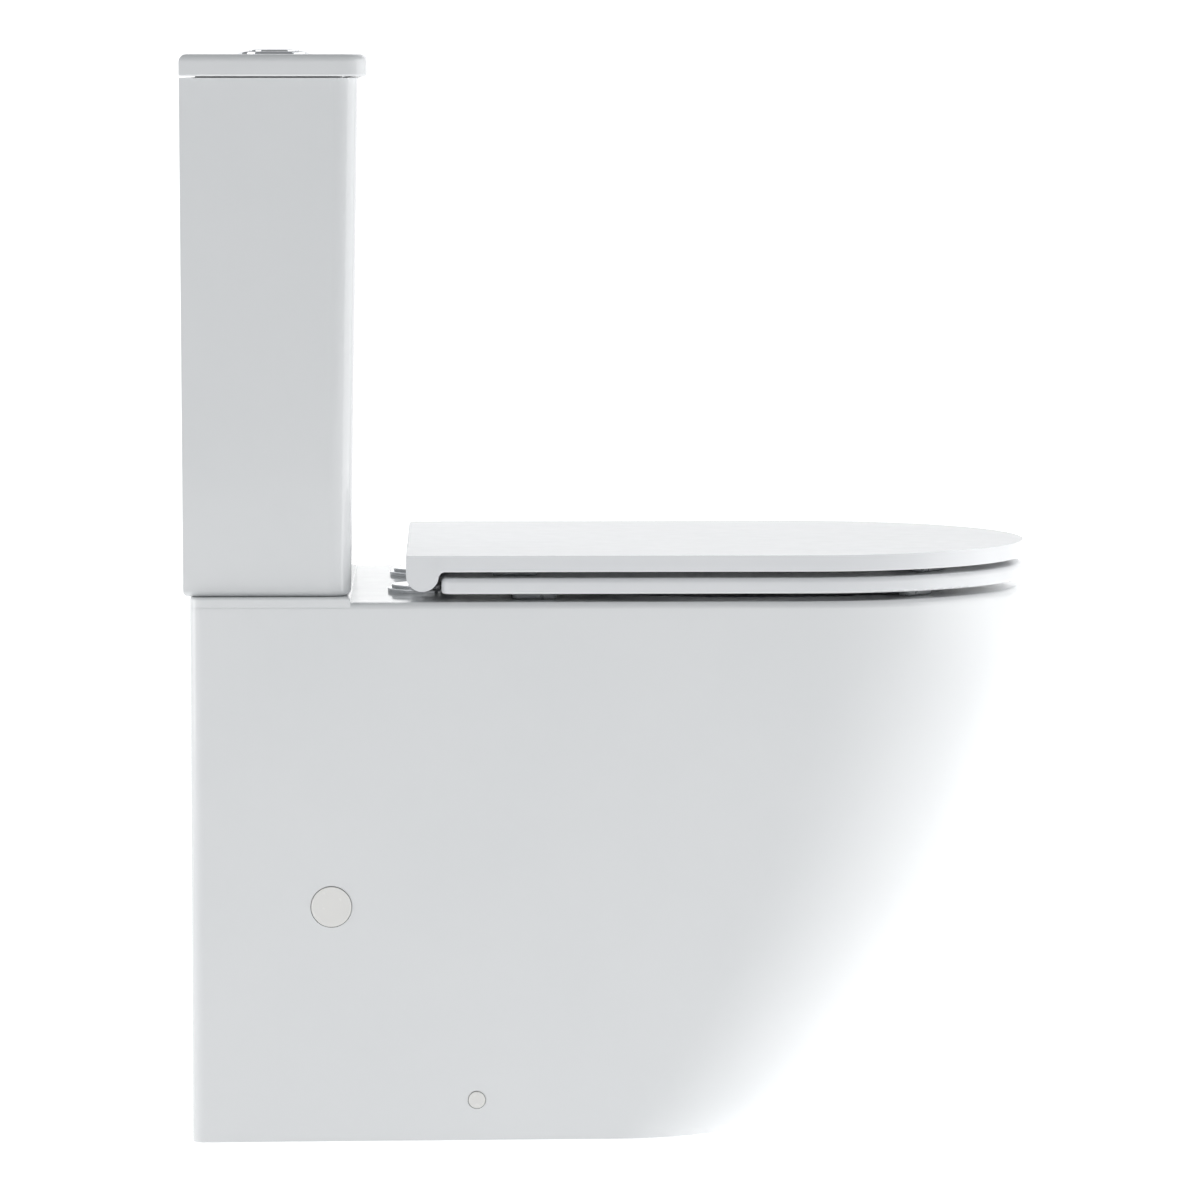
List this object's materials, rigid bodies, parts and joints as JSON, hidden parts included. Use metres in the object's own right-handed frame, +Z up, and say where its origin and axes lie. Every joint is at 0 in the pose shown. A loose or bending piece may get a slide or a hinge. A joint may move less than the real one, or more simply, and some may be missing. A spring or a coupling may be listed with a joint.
{
  "type": "close coupled toilet",
  "caption": "Back-to-wall close coupled toilet: D-shaped glazed pan, rectangular cistern with lift-off lid and dual flush button, hinged seat lid and ring.",
  "frame": {"origin": "centre of the bounding box's bottom face, on the floor under the pan", "axes": "+Z up, -Y to the front of the bowl, +Y to the wall, X across, plane X = 0 through the middle of the bowl"},
  "size_m": [0.36, 0.6595, 0.8386],
  "materials": {
    "glaze": "gloss",
    "seat_plastic": "gloss",
    "buffer": "satin translucent",
    "cap_plastic": "satin",
    "chrome": "polished",
    "steel": "satin",
    "brass": "satin",
    "rubber": "matte",
    "fixing_plastic": "matte",
    "valve_plastic": "satin",
    "valve_blue": "satin"
  },
  "bodies": {
    "root": {"pan_skirt": "glaze", "pan_bowl": "glaze", "pan_sump": "glaze", "pan_trapway": "glaze", "pan_flush_duct": "glaze", "cistern_tank": "glaze", "access_cap_left": "cap_plastic", "access_cap_right": "cap_plastic", "screw_cap_left": "cap_plastic", "screw_cap_right": "cap_plastic", "hinge_base_left": "chrome", "hinge_base_right": "chrome", "hinge_post_left": "chrome", "hinge_post_right": "chrome", "hinge_pins": "steel", "seat_bolts": "steel", "seat_bolt_washers": "rubber", "seat_bolt_nuts": "fixing_plastic", "floor_brackets": "fixing_plastic", "side_screws": "steel", "flush_valve_washer": "rubber", "flush_valve_base": "valve_plastic", "flush_valve_tower": "valve_plastic", "flush_valve_head": "valve_blue", "flush_valve_backnut": "fixing_plastic", "coupling_gasket": "rubber", "coupling_bolts": "brass", "coupling_rubber_washers": "rubber", "coupling_steel_washers": "steel", "coupling_wing_nuts": "brass", "fill_valve_washer": "rubber", "fill_valve_body": "valve_plastic", "fill_valve_cap": "valve_blue", "inlet_filter": "fixing_plastic", "fill_valve_backnut": "fixing_plastic"},
    "seat_ring": {"seat_ring": "seat_plastic", "ring_buffers": "buffer"},
    "seat_lid": {"seat_lid": "seat_plastic", "lid_buffers": "buffer", "soft_close_dampers": "valve_plastic"},
    "cistern_lid": {"cistern_lid": "glaze", "button_bezel": "chrome", "button_nut": "fixing_plastic", "full_button_spring": "steel", "half_button_spring": "steel"},
    "full_button": {"full_flush_button": "chrome", "full_flush_rod": "valve_plastic"},
    "half_button": {"half_flush_button": "chrome", "half_flush_rod": "valve_plastic"},
    "full_pad": {"full_flush_pad": "fixing_plastic"},
    "half_pad": {"half_flush_pad": "fixing_plastic"},
    "valve_piston": {"overflow_tube": "valve_plastic", "flush_valve_seal": "rubber"},
    "fill_float": {"fill_valve_float": "fixing_plastic"},
    "fill_lever": {"fill_valve_lever": "valve_blue"}
  },
  "joints": [
    {"name": "seat_ring_hinge", "type": "hinge", "parent": "root", "child": "seat_ring", "pos_m": [0, 0.146, 0.4375], "axis": [1, 0, 0], "range_deg": [-92, 0]},
    {"name": "seat_lid_hinge", "type": "hinge", "parent": "seat_ring", "child": "seat_lid", "pos_m": [0, 0.146, 0.4375], "axis": [-1, 0, 0], "range_deg": [0, 93]},
    {"name": "cistern_lid_lift", "type": "slide", "parent": "root", "child": "cistern_lid", "axis": [0, 0, 1], "range_m": [0, 0.12]},
    {"name": "full_button_press", "type": "slide", "parent": "cistern_lid", "child": "full_button", "axis": [0, 0, -1], "range_m": [0, 0.006], "stiffness_N_per_m": 400, "springref_m": -0.004, "deforming": ["full_button_spring"]},
    {"name": "half_button_press", "type": "slide", "parent": "cistern_lid", "child": "half_button", "axis": [0, 0, -1], "range_m": [0, 0.006], "stiffness_N_per_m": 400, "springref_m": -0.004, "deforming": ["half_button_spring"]},
    {"name": "full_pad_slide", "type": "slide", "parent": "root", "child": "full_pad", "axis": [0, 0, -1], "range_m": [0, 0.006]},
    {"name": "half_pad_slide", "type": "slide", "parent": "root", "child": "half_pad", "axis": [0, 0, -1], "range_m": [0, 0.006]},
    {"name": "valve_lift", "type": "slide", "parent": "root", "child": "valve_piston", "axis": [0, 0, 1], "range_m": [0, 0.009]},
    {"name": "float_rise", "type": "slide", "parent": "root", "child": "fill_float", "axis": [0, 0, 1], "range_m": [0, 0.01]},
    {"name": "fill_lever_tilt", "type": "hinge", "parent": "root", "child": "fill_lever", "pos_m": [-0.105, 0.262, 0.706], "axis": [0, -1, 0], "range_deg": [0, 23.5]}
  ],
  "couplings": [
    {"joint": "full_pad_slide", "follows": "full_button_press", "ratio": 1},
    {"joint": "half_pad_slide", "follows": "half_button_press", "ratio": 1},
    {"joint": "valve_lift", "follows": "full_button_press", "ratio": 1.5},
    {"joint": "fill_lever_tilt", "follows": "float_rise", "rad_per_m": 40}
  ]
}
